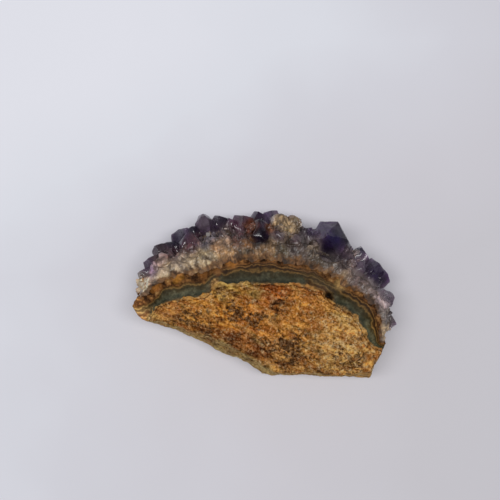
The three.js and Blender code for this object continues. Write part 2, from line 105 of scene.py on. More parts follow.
def add_node(tree, kind, inputs=None, settings=None, stops=None):
    """One shader node. inputs maps a socket's name or number to a value, an sRGB colour, a socket or a node;
    From and To are a range's ends, Size that of a texture in millimetres, and stops a ramp's colours."""
    inputs = dict(inputs or {})
    for name in ("From", "To"):
        if name in inputs:
            inputs[name + " Min"], inputs[name + " Max"] = inputs.pop(name)
    if "Size" in inputs:
        inputs["Scale"] = 1 / (inputs.pop("Size") * MM)
    node = tree.nodes.new("ShaderNode" + kind)
    for name, value in (settings or {}).items():
        setattr(node, name, value)
    open_sockets = [s for s in node.inputs if s.enabled]
    for name, value in inputs.items():
        socket = next(s for i, s in enumerate(open_sockets) if name in (i, s.name))
        if isinstance(value, str):
            value = linear(value)
        if isinstance(value, bpy.types.Node):
            value = next(s for s in value.outputs if s.enabled)
        if isinstance(value, bpy.types.NodeSocket):
            tree.links.new(value, socket)
        else:
            socket.default_value = value
    if stops:
        ramp = node.color_ramp.elements
        for i, (place, code) in enumerate(stops):
            element = ramp[i] if i < 2 else ramp.new(place)
            element.position = place
            element.color = linear(code)
    return node


# Settings that many nodes share
BLEND = {"data_type": "RGBA"}
OVERLAY = {"data_type": "RGBA", "blend_type": "OVERLAY"}
COLOUR_TIMES = {"data_type": "RGBA", "blend_type": "MULTIPLY"}
SMOOTH = {"interpolation_type": "SMOOTHSTEP"}
TIMES = {"operation": "MULTIPLY"}
TIMES_PLUS = {"operation": "MULTIPLY_ADD"}
DRAWN_ALONG = {"vector_type": "TEXTURE"}


def new_material(name, **kept):
    """A material, what adds a node to it, the places on the piece that its textures go by, and what the mesh
    keeps for it by name, each as a number (Fac), a Color or a Vector."""
    material = bpy.data.materials.new(name)
    material.use_nodes = True
    material.node_tree.nodes.clear()
    add = functools.partial(add_node, material.node_tree)
    place = add("TexCoord").outputs["Object"]
    for key, output in kept.items():
        kept[key] = add("Attribute", settings={"attribute_name": key}).outputs[output]
    return material, add, place, kept


def places_of(piece):
    """The places of a piece's mesh points, in millimetres."""
    flat = np.empty(3 * len(piece.data.vertices))
    piece.data.vertices.foreach_get("co", flat)
    return flat.reshape(-1, 3) / MM


def put_places(piece, places):
    """Moves a piece's points, none of them through the flat cut underneath."""
    above_cut = np.maximum(places, np.array([-np.inf, -np.inf, 0.0]))
    piece.data.vertices.foreach_set("co", (above_cut * MM).ravel())
    piece.data.update()


def normals_of(piece):
    flat = np.empty(3 * len(piece.data.vertices))
    piece.data.vertices.foreach_get("normal", flat)
    return flat.reshape(-1, 3)


def keep(piece, name, kind, field, rows):
    """Keeps a row of numbers per point on a piece's mesh, for its material to read."""
    kept = piece.data.attributes.new(name, kind, "POINT").data
    kept.foreach_set(field, np.asarray(rows, np.float32).ravel())


def put_values(piece, values):
    """Keeps one number of each name per point."""
    for name, numbers in values.items():
        keep(piece, name, "FLOAT", "value", numbers)


def put_colours(piece, name, colours):
    """Keeps one linear colour per point."""
    keep(piece, name, "FLOAT_COLOR", "color", np.concatenate([colours, np.ones((len(colours), 1))], axis=1))


def shade_faces(piece, smooth):
    """Shades a piece's faces as one smooth surface, or each as flat."""
    piece.data.polygons.foreach_set("use_smooth", [smooth] * len(piece.data.polygons))


def away_from(places, x, y, radius=1):
    """How far places lie from one on the broken face, in radii."""
    return np.hypot(places[:, 0] - x, places[:, 1] - y) / radius


def painted(places, patches, rest, wander=1.6, rest_share=0.12):
    """A colour per point: that of the patches near it, whose edges wander, and elsewhere the rest."""
    strayed = [waves(places, PATCH_WAVE, 3, shift) for shift in (21.0, 47.0)]
    spot = places[:, :2] + wander * np.stack(strayed, axis=1)
    total = np.full(len(places), rest_share)
    colours = rest * total[:, None]
    for x, y, radius, code in patches:
        share = np.exp(-(away_from(spot, x, y, radius) ** 2))
        total = total + share
        colours = colours + share[:, None] * channels_of(code)
    return colours / total[:, None]


def dented(places):
    """How far the small hole pulls a place down."""
    away = np.linalg.norm(places - np.array(HOLE), axis=1)
    strayed = away + HOLE_RIM * waves(places, HOLE_RIM_WAVE, 2)
    return HOLE_DEPTH * (1 - eased(strayed, 0.3, HOLE_WIDTH / 2 + HOLE_RIM))


def new_object(name, data):
    """A new object in the scene."""
    made = bpy.data.objects.new(name, data)
    bpy.context.scene.collection.objects.link(made)
    return made


def settle(piece):
    """Turns what the piece's modifiers make into its own mesh."""
    made = bpy.data.meshes.new_from_object(piece.evaluated_get(bpy.context.evaluated_depsgraph_get()))
    piece.modifiers.clear()
    piece.data = made


def even_mesh(piece, size):
    """Gives a closed piece an even mesh with points size millimetres apart."""
    remesh = piece.modifiers.new("even", "REMESH")
    remesh.mode = "VOXEL"
    remesh.voxel_size = size * MM
    settle(piece)


def copy_of(node, name):
    """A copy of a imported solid, with each corner once."""
    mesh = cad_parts[node].data.copy()
    mesh.materials.clear()
    work = bmesh.new()
    work.from_mesh(mesh)
    bmesh.ops.remove_doubles(work, verts=work.verts, dist=0.002 * MM)
    work.to_mesh(mesh)
    work.free()
    return new_object(name, mesh)


def surface_of(node):
    """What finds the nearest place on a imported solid, in millimetres."""
    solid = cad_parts[node]
    return BVHTree.FromPolygons(places_of(solid).tolist(), [tuple(p.vertices) for p in solid.data.polygons])


def nearest_on(surface, places):
    """For each place, the nearest one on a surface and how far away it is."""
    found = [surface.find_nearest(Vector(p)) for p in places]
    return np.array([f[0] for f in found]), np.array([f[3] for f in found])


def eased(values, low, high):
    """0 below low, 1 above high, and a smooth rise between them."""
    share = np.clip((values - low) / (high - low), 0, 1)
    return share * share * (3 - 2 * share)


def waves(places, size, octaves=1, shift=0.0):
    """Smooth noise from about -1 to 1 with features of a size in millimetres."""
    moved = places / size + shift
    if octaves == 1:
        return np.array([noise.noise(Vector(p)) for p in moved])
    return np.array([noise.fractal(Vector(p), 1.0, 2.0, octaves) for p in moved])


def grains(places, size, shift=0.0):
    """Rounded grains of a size: 1 in the middle of each and 0 where two meet."""
    uneven = places + 0.3 * size * waves(places, 1.4 * size, 1, 3.0)[:, None]
    rows = [noise.voronoi(Vector(p))[0] for p in uneven / size + shift]
    return np.array([min(1.0, 1.6 * (row[1] - row[0])) for row in rows])


def lap_over(places, surface, bulge=0.0, lead=0.0):
    """Moves a layer's points towards its neighbour, so that the two meet without a gap, along a border that
    bulges to and fro, and more to one side with a lead. The bulge of one layer is the other's with the sign
    changed, and the lead is the same."""
    near, away = nearest_on(surface, places)
    share = 1 - eased(away, LAP_TO, LAP_FROM)
    way = (near - places) / np.maximum(away, 1e-6)[:, None]
    depth = LAP * (1 + bulge * (waves(near, BORDER_WAVE, 3, 60.0) + lead))
    return places + way * (share * depth)[:, None]


def breakage(places):
    """The unevenness that runs through all the layers of the broken face."""
    return HUMP_HEIGHT * waves(places, HUMP, 3)


def raised(places, out, relief):
    """Places moved out by the height of a relief, which fades towards the flat cut."""
    free = eased(places[:, 2], 0.0, CUT_HEIGHT)
    return places + out * (relief * free)[:, None]


rock_surface = surface_of("host_rock")
band_surface = surface_of("agate_band")
crust_surface = surface_of("amethyst_crust")

host_rock = copy_of("host_rock", "weathered_basalt")
even_mesh(host_rock, ROCK_MESH)
rock_places = lap_over(places_of(host_rock), band_surface, BASALT_BULGE)
put_places(host_rock, rock_places)
rock_out = normals_of(host_rock)
pits = eased(waves(rock_places, ROCK_PIT, 2, 7.3), *PIT_WALL)
rock_relief = (
    breakage(rock_places)
    + ROCK_KNOB_HEIGHT * waves(rock_places, ROCK_KNOB, 3, 3.1)
    + ROCK_GRAIN_HEIGHT * (grains(rock_places, ROCK_GRAIN) - 0.5)
    - ROCK_PIT_DEPTH * pits
)
rock_places = raised(rock_places, rock_out, rock_relief)
hollow = dented(rock_places)
rock_places[:, 2] -= hollow
put_places(host_rock, rock_places)

drift = waves(rock_places, STAIN_WAVE, 3, 11.0)
manganese = np.zeros(len(rock_places))
for x, y, radius, strength in STAINS:
    strayed = away_from(rock_places, x, y, radius) + 0.5 * drift
    manganese = np.maximum(manganese, strength * (1 - eased(strayed, *STAIN_EDGE)))
lower_right = rock_places[:, 0] + 5 * drift - 0.4 * rock_places[:, 1]
_, from_band = nearest_on(band_surface, rock_places)
put_colours(host_rock, "tone", painted(rock_places, ROCK_TONES, channels_of(ROCK_COLOUR)))
rock_values = {
    "manganese": manganese,
    # painted shade: the material darkens the pits and the small hole, where shade falls
    "pits": np.maximum(0.5 * pits, eased(hollow, 0.3, 1.2)),
    "pale": eased(lower_right, *PALE_EDGE),
    "side": 1 - eased(rock_out[:, 2], 0.1, 0.6),
    "from_band": from_band + 0.5 * waves(rock_places, 2.0, 3, 25.0),
}
put_values(host_rock, rock_values)
shade_faces(host_rock, True)


def rusty_basalt(add, tone, flow, iron):
    """Ochre in streaks along the flow of the lava, olive where there is little iron and red where much."""
    streak_noise = add("TexNoise", {"Vector": flow, "Size": 1.9, "Detail": 5.0, "Roughness": 0.68})
    streak = add(
        "ValToRGB", {"Fac": streak_noise},
        stops=[(0.32, "#704c2a"), (0.44, "#a98e6c"), (0.54, "#c8bc9e"), (0.66, "#fff6cc")],
    )
    streaked = add("Mix", {"Factor": 0.9, "A": tone, "B": streak}, OVERLAY)
    olive_share = add("MapRange", {"Value": iron, "From": (0.5, 0.66), "To": (0, 0.4)})
    olive = add("Mix", {"Factor": olive_share, "A": streaked, "B": "#a08a50"}, BLEND)
    red_share = add("MapRange", {"Value": iron, "From": (0.34, 0.46), "To": (0.5, 0.0)})
    return add("Mix", {"Factor": red_share, "A": olive, "B": "#804216"}, BLEND)


def speckled_basalt(add, place, kept, rusty):
    """Pale grains, and over them the dark ones that crowd together in the manganese stains."""
    pale_noise = add(
        "TexNoise", {"Vector": place, "Size": 1.2, "Detail": 2.0, "Roughness": 0.8, "Lacunarity": 2.7},
    )
    pale_level = add("Math", {0: kept["pale"], 1: 0.05, 2: pale_noise}, TIMES_PLUS)
    pale_share = add("MapRange", {"Value": pale_level, "From": (0.56, 0.72), "To": (0, 0.75)})
    speckled = add("Mix", {"Factor": pale_share, "A": rusty, "B": "#c4ab80"}, BLEND)
    short_flow = add(
        "Mapping", {"Vector": place, "Rotation": (0, 0, LAVA_FLOW), "Scale": (1.5, 1, 1)}, DRAWN_ALONG,
    )
    speck_noise = add(
        "TexNoise",
        {"Vector": short_flow, "Size": 0.95, "Detail": 3.0, "Roughness": 0.8, "Lacunarity": 2.4},
    )
    speck_level = add("Math", {0: kept["manganese"], 1: 0.26, 2: speck_noise}, TIMES_PLUS)
    specks = add("MapRange", {"Value": speck_level, "From": (0.59, 0.72), "To": (0, 0.9)}, SMOOTH)
    return add("Mix", {"Factor": specks, "A": speckled, "B": "#3c2210"}, BLEND)


def lipped_and_shaded_basalt(add, kept, basalt):
    """A yellow lip along the band with two thin painted shadow lines beside it, and painted shade in the
    pits and the small hole.
    """
    lip = add("MapRange", {"Value": kept["from_band"], "From": (0.1, 0.45), "To": (0.4, 0.0)}, SMOOTH)
    lipped = add("Mix", {"Factor": lip, "A": basalt, "B": "#a88a54"}, BLEND)
    out = add("MapRange", {"Value": kept["from_band"], "From": (0, 4.0)})
    # two painted shadow lines along the band, standing in for the shade under the basalt's lip
    painted_shadow_lines = add(
        "ValToRGB", {"Fac": out},
        stops=[
            (0.1, "#ffffff"), (0.16, "#5c4834"), (0.21, "#ffffff"), (0.4, "#ffffff"), (0.44, "#8a7460"),
            (0.48, "#ffffff"),
        ],
    )
    with_shadow_lines = add("Mix", {"Factor": 0.85, "A": lipped, "B": painted_shadow_lines}, COLOUR_TIMES)
    # painted shade in the pits and the small hole
    return add("Mix", {"Factor": kept["pits"], "A": with_shadow_lines, "B": "#644828"}, COLOUR_TIMES)


def weathered_basalt():
    """Basalt that has rusted through: the iron gives ochre and rust in streaks along the flow of the lava,
    loose grains show as pale and dark specks, and it is fully matte."""
    material, add, place, kept = new_material(
        "weathered_basalt",
        tone="Color", manganese="Fac", pits="Fac", pale="Fac", side="Fac", from_band="Fac",
    )
    flow = add(
        "Mapping", {"Vector": place, "Rotation": (0, 0, LAVA_FLOW), "Scale": (2.6, 1, 1)}, DRAWN_ALONG,
    )
    iron = add(
        "TexNoise", {"Vector": flow, "Size": 3.4, "Detail": 4.0, "Roughness": 0.7, "Distortion": 0.6},
    )
    speckled = speckled_basalt(add, place, kept, rusty_basalt(add, kept["tone"], flow, iron))
    side_patches = add("MapRange", {"Value": iron, "From": (0.42, 0.56), "To": (0.15, 0.75)})
    side_share = add("Math", {0: kept["side"], 1: side_patches}, TIMES)
    sided = add("Mix", {"Factor": side_share, "A": speckled, "B": "#ccb27a"}, BLEND)
    fine = add("TexNoise", {"Vector": place, "Size": 0.8, "Detail": 3.0, "Roughness": 0.8})
    fine_light = add("MapRange", {"Value": fine, "From": (0.34, 0.66), "To": (0.04, 0.98)})
    grainy = add("Mix", {"Factor": 0.85, "A": sided, "B": fine_light}, OVERLAY)
    bleached_share = add("MapRange", {"Value": fine, "From": (0.5, 0.62), "To": (0, 0.3)})
    bleached = add("Mix", {"Factor": bleached_share, "A": grainy, "B": "#ac9876"}, BLEND)
    bump = add("Bump", {"Strength": 1.0, "Distance": 0.3 * MM, "Height": fine})
    shader = add(
        "BsdfPrincipled",
        {
            "Base Color": lipped_and_shaded_basalt(add, kept, bleached), "Roughness": 0.92, "IOR": 1.5,
            "Specular IOR Level": 0.05, "Normal": bump,
        },
    )
    add("OutputMaterial", {"Surface": shader})
    return material


host_rock.data.materials.append(weathered_basalt())
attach(host_rock, "root")
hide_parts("host_rock")


# Agate band
# Chalcedony that silica water laid down on the basalt in sheets: first a waxy grey-green one, then thin
# olive and brown ones, and last a knobbly rust-stained seam that the quartz grew from.

BAND_MESH = 0.3  # millimetres between the points of its mesh
# Width and height in millimetres of a knob on the rusty seam, of a fold in it, of a ripple in the band, and
# of a grain of the basalt on it
SEAM_KNOB, SEAM_KNOB_HEIGHT = 2.4, 0.5
SEAM_FOLD, SEAM_FOLD_HEIGHT = 1.6, 0.55
BAND_RIPPLE, BAND_RIPPLE_HEIGHT = 1.2, 0.05
CHIP_GRAIN, CHIP_GRAIN_HEIGHT = 0.9, 0.2
LIP_DEPTH = 0.2  # how far the band lies back where it starts on the basalt
LIP_SHARES = (0.02, 0.12)  # shares of the band's thickness between which that ends
SHEET_WAVE = 3.2  # length of the waves in the sheets
SHEET_STRAY = 0.13  # how far the sheets stray with them, as a share of the band's thickness
SEAM_BULGE = 2.2  # how much the quartz and the rusty seam reach into each other, in LAPs
SEAM_LEAD = 0.35  # and how much further the quartz reaches
# Millimetres along X between which the grey-green sheet is there: left of a chip of basalt, right of it up
# to where basalt bulges into the band, and beyond that
GREEN = [(-33, -15.6), (-12.8, 11.5), (20.5, 40)]
GREEN_EDGE = 1.2  # over how many millimetres to each side it comes and goes
CHIP = (-14.3, 3.6)  # where the chip of basalt is
CHIP_EDGE = (0.7, 1.5)  # where it starts to fade and where it ends, in millimetres
# Where the knobbly seam starts: x in millimetres, and share of the band's thickness
KNOBBLY_FROM = [(-40, 0.62), (-16, 0.62), (-12, 0.84), (12, 0.84), (20, 0.74), (40, 0.78)]
TIP_FROM, TIP_TO = -29, -33  # left of these millimetres along X the sheets run on past the basalt
TIP_THICKNESS = 7.6  # of the sheets there
# Rusty and clayey lumps on the seam: x, y and radius in millimetres, and the colour
LUMPS = [
    (-31.4, 2.2, 1.1, "#9c6428"), (-25, 5.4, 1.2, "#a8722e"), (-17.6, 6.2, 1, "#86562a"),
    (-13.4, 7.3, 1.1, "#8a5a2e"), (-9.5, 9.2, 1, "#94602a"), (22.4, 3.7, 1.3, "#ad8a56"),
    (24.6, 3, 0.9, "#7c4f28"),
]
# Where the sheets are lighter or darker: x, y and radius in millimetres, and how many times
BAND_LIGHT = [
    (-37.5, -5, 3.4, 4.5), (-34.5, -6.4, 2.4, 2.4), (31.2, -1.6, 2.2, 1.5), (30.8, -10, 2.6, 2.1),
    (32, -14, 1.8, 1.5), (22.5, 3.4, 2, 1.5), (-24, 1.5, 4, 1.15), (-9, 4, 3, 0.62), (0, 4.5, 3.5, 0.7),
    (7, 5, 3, 0.85), (13, 6, 3, 0.8), (26, 0.5, 2.6, 1.15), (-8, 9.4, 3.5, 1.6), (3, 9.6, 3.5, 1.5),
    (10, 8.8, 3, 1.4), (-25, 5.5, 3, 1.25), (-35.8, -1.2, 2.4, 1.7), (-25, 1.5, 3.5, 1.2),
    (-18.5, 3.6, 2.5, 1.3),
]

agate_band = copy_of("agate_band", "chalcedony_band")
even_mesh(agate_band, BAND_MESH)
band_places = lap_over(places_of(agate_band), rock_surface, -BASALT_BULGE)
band_places = lap_over(band_places, crust_surface, -SEAM_BULGE, SEAM_LEAD)
put_places(agate_band, band_places)
band_out = normals_of(agate_band)
_, from_rock = nearest_on(rock_surface, band_places)
_, from_crust = nearest_on(crust_surface, band_places)
in_tip = eased(-band_places[:, 0], -TIP_FROM, -TIP_TO)
layer = from_rock / (from_rock + from_crust) * (1 - in_tip) + (1 - from_crust / TIP_THICKNESS) * in_tip
wave = waves(band_places, SHEET_WAVE, 3, 5.0)
layer = np.clip(layer + SHEET_STRAY * wave * np.sin(math.pi * np.clip(layer, 0, 1)), 0, 1)
knobbly_from = np.interp(band_places[:, 0], *zip(*KNOBBLY_FROM))
knobbly = eased(layer + 0.1 * wave, knobbly_from - 0.04, knobbly_from + 0.08)
knobs = grains(band_places, SEAM_KNOB, 2.0)
lower_lip = 1 - eased(layer, *LIP_SHARES)
chip = 1 - eased(away_from(band_places, *CHIP) + wave, *CHIP_EDGE)
seam_folds = SEAM_FOLD_HEIGHT * waves(band_places, SEAM_FOLD, 3, 8.0)
band_relief = (
    breakage(band_places)
    + BAND_RIPPLE_HEIGHT * waves(band_places, BAND_RIPPLE, 2, 9.0)
    + knobbly * (SEAM_KNOB_HEIGHT * (knobs - 0.4) + seam_folds)
    - LIP_DEPTH * lower_lip
    + CHIP_GRAIN_HEIGHT * (grains(band_places, CHIP_GRAIN) - 0.5) * (lower_lip + chip)
)
band_places = raised(band_places, band_out, band_relief)
hollow = dented(band_places)
band_places[:, 2] -= hollow
put_places(agate_band, band_places)


def rising(values, start):
    """0 before the start and 1 after it."""
    return eased(values, start - GREEN_EDGE, start + GREEN_EDGE)


along = band_places[:, 0] + 1.5 * wave
green = sum(rising(along, start) * (1 - rising(along, end)) for start, end in GREEN)
put_colours(agate_band, "lumps", painted(band_places, LUMPS, np.zeros(3), 0.5, 0.2))
light = np.ones(len(band_places))
for x, y, radius, times in BAND_LIGHT:
    light = light * times ** np.exp(-(away_from(band_places, x, y, radius) ** 2))
lip = (1 - eased(layer + 0.04 * wave, 0.0, 0.04)) * (1 - in_tip)
band_values = {
    "layer": layer,
    "green": np.clip(green, 0, 1) * (1 - chip),
    "knobbly": knobbly,
    "knobs": knobs,
    "light": light,
    "chip": np.maximum(chip, 0.8 * lip),
    # painted shadow: the material fills the small hole with near-black
    "hole": eased(hollow, 0.2, 1.2),
}
put_values(agate_band, band_values)
shade_faces(agate_band, True)


def thin_sheets(add, place, kept):
    """The sheets from the basalt outwards, grey-green or brown, with pale clouds in the green ones."""
    wander = add("TexNoise", {"Vector": place, "Size": 1.6, "Detail": 4.0, "Roughness": 0.6})
    wandered = add("Math", {0: wander, 1: 0.24, 2: kept["layer"]}, TIMES_PLUS)
    sheet = add("Math", {0: wandered, 1: 0.12}, {"operation": "SUBTRACT"})
    grey_green = add(
        "ValToRGB", {"Fac": sheet},
        stops=[
            (0.0, "#6b5434"), (0.07, "#41392a"), (0.14, "#2c2e22"), (0.26, "#3b3a2a"), (0.36, "#352e1b"),
            (0.44, "#2c2411"), (0.5, "#352a14"), (0.55, "#684e28"), (0.6, "#432e12"), (0.64, "#241406"),
            (0.69, "#33200b"), (0.73, "#6c4c26"), (0.78, "#241305"), (0.84, "#5e3d1f"), (0.9, "#76502c"),
        ],
    )
    brown = add(
        "ValToRGB", {"Fac": sheet},
        stops=[
            (0.0, "#7d5a32"), (0.08, "#5d4022"), (0.15, "#6e5230"), (0.2, "#3f2815"), (0.28, "#4a3520"),
            (0.34, "#6a5433"), (0.39, "#40301c"), (0.47, "#3a2c19"), (0.54, "#66502e"), (0.6, "#3a2612"),
            (0.66, "#54401f"), (0.71, "#2b190a"), (0.78, "#66482a"), (0.83, "#33200d"), (0.9, "#704e2a"),
        ],
    )
    sheets = add("Mix", {"Factor": kept["green"], "A": brown, "B": grey_green}, BLEND)
    cloud = add("TexNoise", {"Vector": place, "Size": 2.1, "Detail": 4.0, "Roughness": 0.62})
    cloud_share = add("MapRange", {"Value": cloud, "From": (0.5, 0.66), "To": (0, 0.6)})
    low_sheet = add("MapRange", {"Value": kept["layer"], "From": (0.4, 0.52), "To": (1.0, 0.0)}, SMOOTH)
    cloudy = add("Math", {0: cloud_share, 1: low_sheet}, TIMES)
    cloudy = add("Math", {0: cloudy, 1: kept["green"]}, TIMES)
    return add("Mix", {"Factor": cloudy, "A": sheets, "B": "#5a5641"}, BLEND)


def rusty_seam(add, place, kept, sheets):
    """Rusty knobs over the last sheets, and lumps of rust and clay on them."""
    rust_noise = add("TexNoise", {"Vector": place, "Size": 2.2, "Detail": 4.0, "Roughness": 0.7})
    rust_level = add("Math", {0: kept["knobs"], 1: 0.14, 2: rust_noise}, TIMES_PLUS)
    rust = add(
        "ValToRGB", {"Fac": rust_level},
        stops=[
            (0.38, "#1f1208"), (0.48, "#3c2412"), (0.58, "#614123"), (0.68, "#7f5831"), (0.82, "#a5804f"),
        ],
    )
    rusted = add("Mix", {"Factor": kept["knobbly"], "A": sheets, "B": rust}, BLEND)
    return add(
        "Mix", {"Factor": 0.7, "A": rusted, "B": kept["lumps"]},
        {"data_type": "RGBA", "blend_type": "LIGHTEN"},
    )


def banded_chalcedony():
    """Chalcedony is fine fibres of quartz, so it breaks smooth and looks like wax, and its sheets differ in
    colour by the iron in them. The last sheets are rusty and dull."""
    material, add, place, kept = new_material(
        "banded_chalcedony",
        layer="Fac", green="Fac", knobbly="Fac", knobs="Fac", light="Fac", chip="Fac", hole="Fac",
        lumps="Color",
    )
    lumpy = rusty_seam(add, place, kept, thin_sheets(add, place, kept))
    lit = add("Mix", {"Factor": 1.0, "A": lumpy, "B": kept["light"]}, COLOUR_TIMES)
    fine = add("TexNoise", {"Vector": place, "Size": 0.9, "Detail": 4.0, "Roughness": 0.7})
    chipped = add("ValToRGB", {"Fac": fine}, stops=[(0.35, "#6f4f2a"), (0.5, "#8d6a3d"), (0.65, "#b08d5a")])
    with_chip = add("Mix", {"Factor": kept["chip"], "A": lit, "B": chipped}, BLEND)
    fine_light = add("MapRange", {"Value": fine, "From": (0.3, 0.7), "To": (0.22, 0.78)})
    uneven = add("Mix", {"Factor": 0.8, "A": with_chip, "B": fine_light}, OVERLAY)
    # painted shadow in the small hole
    with_hole_shadow = add("Mix", {"Factor": kept["hole"], "A": uneven, "B": "#17100a"}, BLEND)
    dullness = add("MapRange", {"Value": kept["knobbly"], "To": (0.5, 0.8)})
    bump = add("Bump", {"Strength": 0.5, "Distance": 0.15 * MM, "Height": fine})
    shader = add(
        "BsdfPrincipled",
        {
            "Base Color": with_hole_shadow, "Roughness": dullness, "IOR": 1.54, "Specular IOR Level": 0.06,
            "Subsurface Weight": 0.05, "Subsurface Radius": (0.6 * MM, 0.6 * MM, 0.4 * MM),
            "Subsurface Scale": 1.0, "Normal": bump,
        },
    )
    add("OutputMaterial", {"Surface": shader})
    return material


agate_band.data.materials.append(banded_chalcedony())
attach(agate_band, "root")
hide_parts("agate_band")


# Milky foot
# The first quartz on the band grew in a crowd of thin columns and clouded with water and clay: a solid,
# sugary foot, cream and grey with iron stains. The clear points grow up out of it.

FOOT_MESH = 0.34  # millimetres between the points of its mesh
FOOT_SHARE = 0.36  # of the crust's thickness, how far the foot reaches out
THIN_MILK = 0.6  # and how much further where the crust is thin
THIN_EDGE = (3.5, 6.5)  # millimetres of thickness between which that stops
# How far it reaches on the broken face: x in millimetres, and share of the crust's thickness
FACE_SHARES = [(-36, 0.6), (-28, 0.52), (4, 0.5), (9, 0.4), (32, 0.38), (36, 0.45)]
REACH_STRAY = 0.14  # how much that differs from column to column
MESH_BEYOND = 0.12  # how much further out than that the foot's mesh goes
# Heights in millimetres between which the crust's side turns into the broken face, for how far it is milky,
# for its clouded points and for its colours
FACE_FROM = (18, 25)
CLOUDED_FROM = (12, 19)
FOOT_TONES_FROM = (14, 21)
# Points that are clear further down: x, y and radius in millimetres
CLEAR = [(19.6, 14.6, 5.4), (-1, 17.2, 3)]
# Points that are clouded or coated too: x, y and radius in millimetres, and the share of the thickness
CLOUDED = [
    (5, 21.5, 2.6, 1.8), (9, 20.6, 2.3, 1.8), (-22, 13, 2.4, 0.8), (-29.6, 10.7, 2, 1),
    (-10.8, 18, 1.3, 0.9), (-3.9, 20.4, 1.3, 1.7), (-4.1, 18.6, 0.9, 1.5), (1.9, 19.8, 0.9, 1.7),
    (-36, 1.6, 3.4, 1.8), (14.8, 15, 1.2, 0.9), (28.4, 11.9, 1.8, 1.7), (25.8, 9.5, 1.5, 0.8),
    (35.6, -4, 2, 0.9), (-16.3, 16.6, 1.2, 0.8), (-5, 15.6, 1.4, 0.7),
]
CLEAR_EDGE = (0.75, 1.1)  # where such a point starts to fade and where it ends, in radii
CLOUDED_EDGE = (0.8, 1.15)
CLEAR_DROP = 0.2  # how much further down a clear one is clear, as a share of the thickness
# Width and height in millimetres of a column of quartz in it, of the splinters that it falls apart into, of
# a grain on their broken ends, and of the large and small bumps where it broke
FOOT_COLUMN, COLUMN_HEIGHT = 2.7, 0.3
FOOT_SPLINTER, SPLINTER_HEIGHT = 1.2, 0.22
FOOT_GRAIN, GRAIN_HEIGHT = 0.9, 0.2
LARGE_BUMP, LARGE_BUMP_HEIGHT = 4.4, 0.8
SMALL_BUMP, SMALL_BUMP_HEIGHT = 1.7, 0.36
SKIN = 0.4  # how far the foot stands out over the clear quartz
SKIN_FALL = 0.85  # and how far it falls back from that where the quartz is clear
SKIN_EDGE = (-0.08, 0.08)  # from how far before the edge of the milky part to how far after it
DRAWN_OUT = 0.42  # width of a column over its length
FOOT_COLOUR = "#8f7f70"  # on the side, where the photo doesn't show it
# Painted light along X in millimetres, as a share of the colours below: the thin ends let more light in, so
# their colours are made lighter, and the thick middle darker
FOOT_PAINTED_LIGHT = [
    (-36, 2.1), (-32, 1.45), (-28, 0.88), (-10, 0.81), (0, 0.61), (20, 0.66), (28, 0.8), (34, 1.05),
]
DOME_MIDDLE = (0.0, -14.0)
DOME_RADIUS = 30.0
# Thickness of the whole crust round the dome: degrees round from +X about its middle, and millimetres
CRUST = [
    (-5, 2.5), (8, 4.8), (16, 6), (24, 8), (34, 10.5), (48, 13), (62, 13.5), (90, 13.4), (118, 13.8),
    (130, 12.6), (142, 9.8), (150, 7.4), (157, 4.6), (163, 2.6), (175, 1.5),
]
